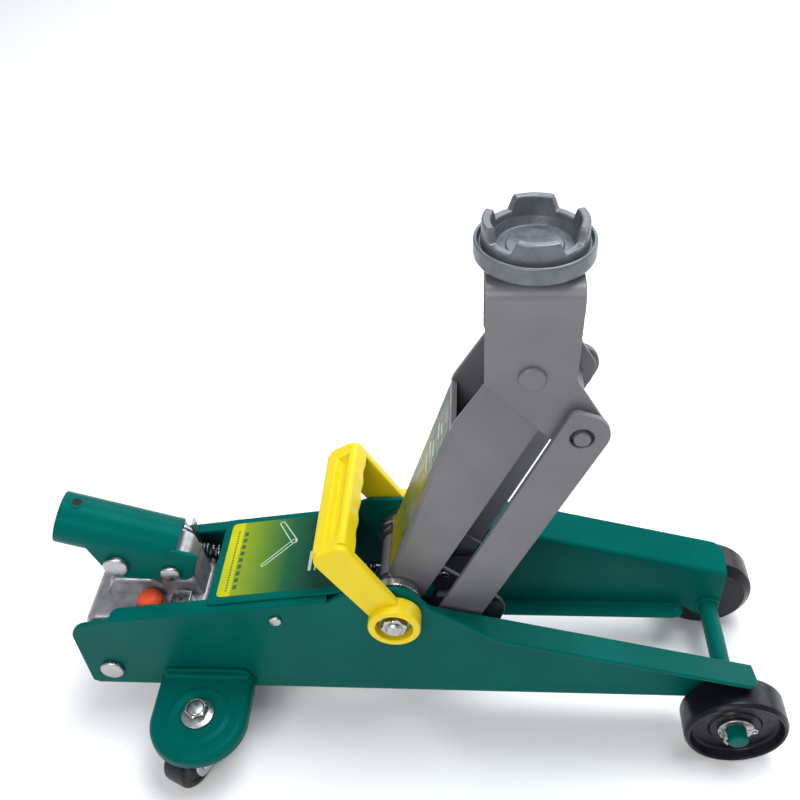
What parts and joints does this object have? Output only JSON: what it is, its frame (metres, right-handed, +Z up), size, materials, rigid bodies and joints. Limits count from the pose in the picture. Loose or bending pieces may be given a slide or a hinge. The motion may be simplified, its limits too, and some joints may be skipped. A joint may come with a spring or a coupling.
{
  "type": "hydraulic floor jack",
  "caption": "Low trolley jack with a raised lift arm, parallel links, swivelling saddle, hydraulic pump, handle socket, carry handle, front wheels and rear casters.",
  "frame": {"origin": "on the ground under the middle of the jack's length and width", "axes": "+X from the handle socket towards the front wheels, +Y to the jack's left side, +Z up"},
  "size_m": [0.4533, 0.202, 0.356],
  "materials": {
    "green_paint": "glossy sprayed enamel on pressed steel",
    "grey_paint": "satin metallic grey paint",
    "cast_iron": "rough casting sprayed silver",
    "bright_steel": "zinc plated steel",
    "dark_steel": "oiled dark steel",
    "yellow_plastic": "glossy moulded plastic",
    "orange_rubber": "soft rubber plug",
    "black_plastic": "hard black nylon"
  },
  "bodies": {
    "chassis": {"side_plate_left": "green_paint", "side_plate_right": "green_paint", "cover_plate": "green_paint", "cover_screw_left": "bright_steel", "cover_screw_right": "bright_steel", "rear_pin": "bright_steel", "main_shaft": "dark_steel", "shaft_washer_left": "bright_steel", "shaft_washer_right": "bright_steel", "shaft_nut_left": "bright_steel", "shaft_nut_right": "bright_steel", "shaft_spacer_left": "bright_steel", "shaft_spacer_right": "bright_steel", "front_axle": "green_paint", "axle_washer_left": "bright_steel", "axle_washer_right": "bright_steel", "axle_cotter_left": "bright_steel", "axle_cotter_right": "bright_steel", "caster_bracket_left": "green_paint", "caster_bracket_right": "green_paint", "caster_stem_left": "dark_steel", "caster_stem_right": "dark_steel", "caster_nut_left": "bright_steel", "caster_nut_right": "bright_steel", "link_stud_left": "dark_steel", "link_stud_right": "dark_steel", "pump_block": "cast_iron", "filler_plug": "orange_rubber", "ram_cylinder": "dark_steel", "cylinder_gland": "bright_steel", "return_spring": "dark_steel", "pump_spring": "bright_steel", "socket_pivot_pin": "bright_steel", "stop_clip": "bright_steel"},
    "lift_arm": {"lift_arm": "grey_paint", "arm_pivot_tube": "grey_paint", "crank_pin": "dark_steel", "spring_pin": "dark_steel"},
    "saddle_bracket": {"saddle_bracket": "grey_paint", "arm_pin": "grey_paint", "link_pin": "grey_paint"},
    "saddle": {"saddle": "grey_paint", "saddle_retainer": "bright_steel"},
    "links": {"link_left": "grey_paint", "link_right": "grey_paint"},
    "ram": {"ram": "bright_steel", "ram_yoke": "dark_steel"},
    "handle_socket": {"handle_socket": "green_paint", "pump_pin": "bright_steel"},
    "pump_plunger": {"pump_plunger": "bright_steel"},
    "release_valve": {"release_valve": "bright_steel"},
    "carry_handle": {"carry_handle": "yellow_plastic"},
    "front_wheel_left": {"front_wheel_left": "black_plastic"},
    "front_wheel_right": {"front_wheel_right": "black_plastic"},
    "caster_fork_left": {"caster_fork_left": "bright_steel", "caster_axle_left": "bright_steel"},
    "caster_fork_right": {"caster_fork_right": "bright_steel", "caster_axle_right": "bright_steel"},
    "caster_wheel_left": {"caster_wheel_left": "black_plastic"},
    "caster_wheel_right": {"caster_wheel_right": "black_plastic"}
  },
  "joints": [
    {"name": "lift", "type": "hinge", "parent": "chassis", "child": "lift_arm", "pos_m": [-0.0134, 0, 0.112], "axis": [0, 1, 0], "range_deg": [0, 73], "deforming": ["return_spring"]},
    {"name": "bracket_level", "type": "hinge", "parent": "lift_arm", "child": "saddle_bracket", "pos_m": [0.06136, 0, 0.28231], "axis": [0, 1, 0], "range_deg": [-73, 0]},
    {"name": "link_swing", "type": "hinge", "parent": "chassis", "child": "links", "pos_m": [0.0129, 0, 0.0768], "axis": [0, 1, 0], "range_deg": [0, 73]},
    {"name": "ram_slide", "type": "slide", "parent": "chassis", "child": "ram", "axis": [1, 0, 0], "range_m": [-0.0716, 0]},
    {"name": "saddle_swivel", "type": "hinge", "parent": "saddle_bracket", "child": "saddle", "pos_m": [0.06136, 0, 0.334], "axis": [0, 0, 1], "continuous": true},
    {"name": "pump_handle", "type": "hinge", "parent": "chassis", "child": "handle_socket", "pos_m": [-0.1544, 0, 0.119], "axis": [0, -1, 0], "range_deg": [0, 18], "stiffness_Nm_per_rad": 1, "springref_deg": -11.46, "deforming": ["pump_spring"]},
    {"name": "plunger_slide", "type": "slide", "parent": "chassis", "child": "pump_plunger", "axis": [0, 0, -1], "range_m": [0, 0.0116]},
    {"name": "valve_turn", "type": "hinge", "parent": "chassis", "child": "release_valve", "pos_m": [-0.1504, -0.021, 0.095], "axis": [0, 0, 1], "range_deg": [0, 360]},
    {"name": "carry_handle_swing", "type": "hinge", "parent": "chassis", "child": "carry_handle", "pos_m": [-0.0134, 0, 0.112], "axis": [0, 1, 0], "range_deg": [-36, 20]},
    {"name": "front_wheel_spin_left", "type": "hinge", "parent": "chassis", "child": "front_wheel_left", "pos_m": [0.1951, 0.0527, 0.0315], "axis": [0, 1, 0], "continuous": true},
    {"name": "caster_swivel_left", "type": "hinge", "parent": "chassis", "child": "caster_fork_left", "pos_m": [-0.1394, 0.069, 0.042], "axis": [0, 0, 1], "continuous": true},
    {"name": "caster_spin_left", "type": "hinge", "parent": "caster_fork_left", "child": "caster_wheel_left", "pos_m": [-0.14532, 0.08169, 0.0185], "axis": [0.9063, 0.4226, 0], "continuous": true},
    {"name": "front_wheel_spin_right", "type": "hinge", "parent": "chassis", "child": "front_wheel_right", "pos_m": [0.1951, -0.0527, 0.0315], "axis": [0, 1, 0], "continuous": true},
    {"name": "caster_swivel_right", "type": "hinge", "parent": "chassis", "child": "caster_fork_right", "pos_m": [-0.1394, -0.069, 0.042], "axis": [0, 0, 1], "continuous": true},
    {"name": "caster_spin_right", "type": "hinge", "parent": "caster_fork_right", "child": "caster_wheel_right", "pos_m": [-0.14532, -0.08169, 0.0185], "axis": [0.9063, -0.4226, 0], "continuous": true}
  ],
  "couplings": [
    {"joint": "bracket_level", "follows": "lift", "ratio": -1},
    {"joint": "link_swing", "follows": "lift", "ratio": 1},
    {"joint": "ram_slide", "follows": "lift", "m_per_rad": -0.05602},
    {"joint": "plunger_slide", "follows": "pump_handle", "m_per_rad": 0.0335}
  ]
}
